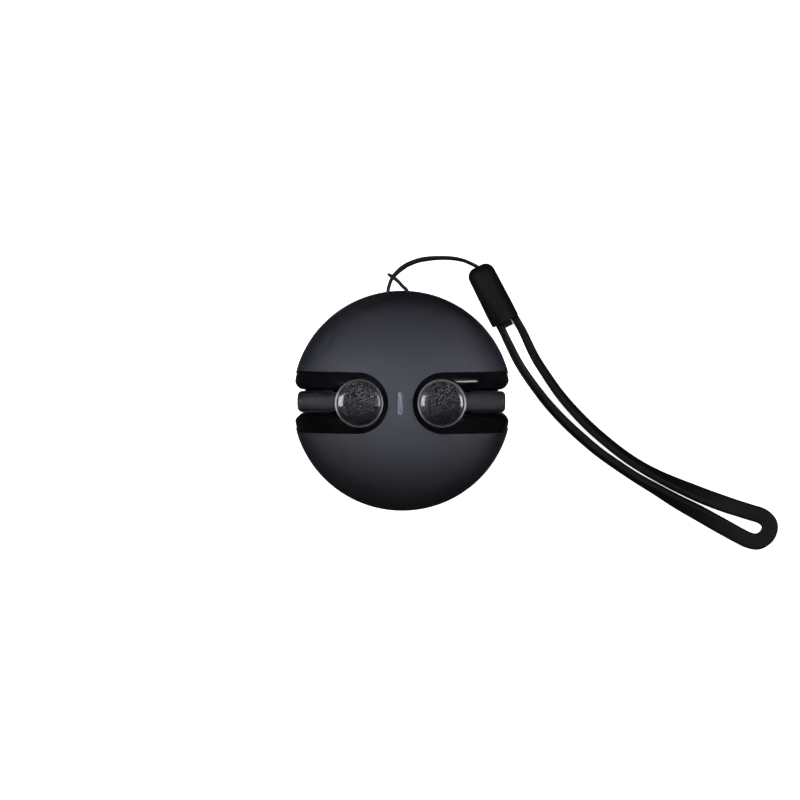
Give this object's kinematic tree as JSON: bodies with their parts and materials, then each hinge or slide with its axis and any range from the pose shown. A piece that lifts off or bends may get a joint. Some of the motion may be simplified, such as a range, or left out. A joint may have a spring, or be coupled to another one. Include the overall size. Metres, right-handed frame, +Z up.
{
  "type": "wireless earphone charging case",
  "caption": "Round pebble charging case holding a pair of stem earphones in glossy open troughs, with a silicone wrist strap hitched through its rim.",
  "frame": {"origin": "middle of the flat on the case's back, where it rests", "axes": "+Z up out of the front face with the earphones, +Y towards the strap holes in the rim, +X towards the right-hand earphone"},
  "size_m": [0.1325, 0.081, 0.0325],
  "materials": {
    "shell": "fine matte soft-touch",
    "cradle": "high gloss",
    "key": "dark pearl speckle under clear lacquer",
    "ring": "bright",
    "stem": "fine matte",
    "silicone": "satin silicone",
    "strap": "satin silicone",
    "cord": "braided nylon",
    "lens": "milky translucent",
    "board": "solder mask",
    "chip": "moulded epoxy",
    "led": "clear",
    "steel": "satin",
    "nickel": "plated",
    "gold": "gold plated",
    "foil": "pouch foil",
    "foam": "foam tape",
    "lead": "insulated wire"
  },
  "bodies": {
    "case": {"front_shell": "shell", "back_shell": "shell", "light_pipe": "lens", "left_cradle": "cradle", "right_cradle": "cradle", "left_dock_magnets": "nickel", "right_dock_magnets": "nickel", "charging_board": "board", "board_chips": "chip", "indicator_led": "led", "usb_socket": "steel", "usb_tongue": "chip", "battery_cell": "foil", "battery_pad": "foam", "battery_leads": "lead", "case_screws": "steel", "left_pin_barrels": "gold", "right_pin_barrels": "gold", "strap_cord": "cord", "strap_sleeve": "strap", "strap_loop": "strap"},
    "left_earphone": {"left_key_ring": "ring", "left_head_cover": "cradle", "left_head_body": "stem", "left_stem_tube": "stem", "left_ear_tip": "silicone", "left_sound_mesh": "nickel", "left_driver": "nickel", "left_ear_cell": "steel", "left_ear_board": "board", "left_key_switch": "steel", "left_microphone": "gold", "left_contacts": "gold"},
    "left_key": {"left_touch_key": "key"},
    "left_inner_contact_pin": {"left_inner_pin": "gold"},
    "left_outer_contact_pin": {"left_outer_pin": "gold"},
    "right_earphone": {"right_key_ring": "ring", "right_head_cover": "cradle", "right_head_body": "stem", "right_stem_tube": "stem", "right_ear_tip": "silicone", "right_sound_mesh": "nickel", "right_driver": "nickel", "right_ear_cell": "steel", "right_ear_board": "board", "right_key_switch": "steel", "right_microphone": "gold", "right_contacts": "gold"},
    "right_key": {"right_touch_key": "key"},
    "right_inner_contact_pin": {"right_inner_pin": "gold"},
    "right_outer_contact_pin": {"right_outer_pin": "gold"}
  },
  "joints": [
    {"name": "left_earphone_lift", "type": "slide", "parent": "case", "child": "left_earphone", "axis": [0, 0, 1], "range_m": [0, 0.03]},
    {"name": "left_key_press", "type": "slide", "parent": "left_earphone", "child": "left_key", "axis": [0, 0, -1], "range_m": [0, 0.00035], "stiffness_N_per_m": 2000},
    {"name": "left_inner_pin_spring", "type": "slide", "parent": "case", "child": "left_inner_contact_pin", "axis": [0, 0, -1], "range_m": [0, 0.0004], "stiffness_N_per_m": 1000},
    {"name": "left_outer_pin_spring", "type": "slide", "parent": "case", "child": "left_outer_contact_pin", "axis": [0, 0, -1], "range_m": [0, 0.0004], "stiffness_N_per_m": 1000},
    {"name": "right_earphone_lift", "type": "slide", "parent": "case", "child": "right_earphone", "axis": [0, 0, 1], "range_m": [0, 0.03]},
    {"name": "right_key_press", "type": "slide", "parent": "right_earphone", "child": "right_key", "axis": [0, 0, -1], "range_m": [0, 0.00035], "stiffness_N_per_m": 2000},
    {"name": "right_inner_pin_spring", "type": "slide", "parent": "case", "child": "right_inner_contact_pin", "axis": [0, 0, -1], "range_m": [0, 0.0004], "stiffness_N_per_m": 1000},
    {"name": "right_outer_pin_spring", "type": "slide", "parent": "case", "child": "right_outer_contact_pin", "axis": [0, 0, -1], "range_m": [0, 0.0004], "stiffness_N_per_m": 1000}
  ]
}
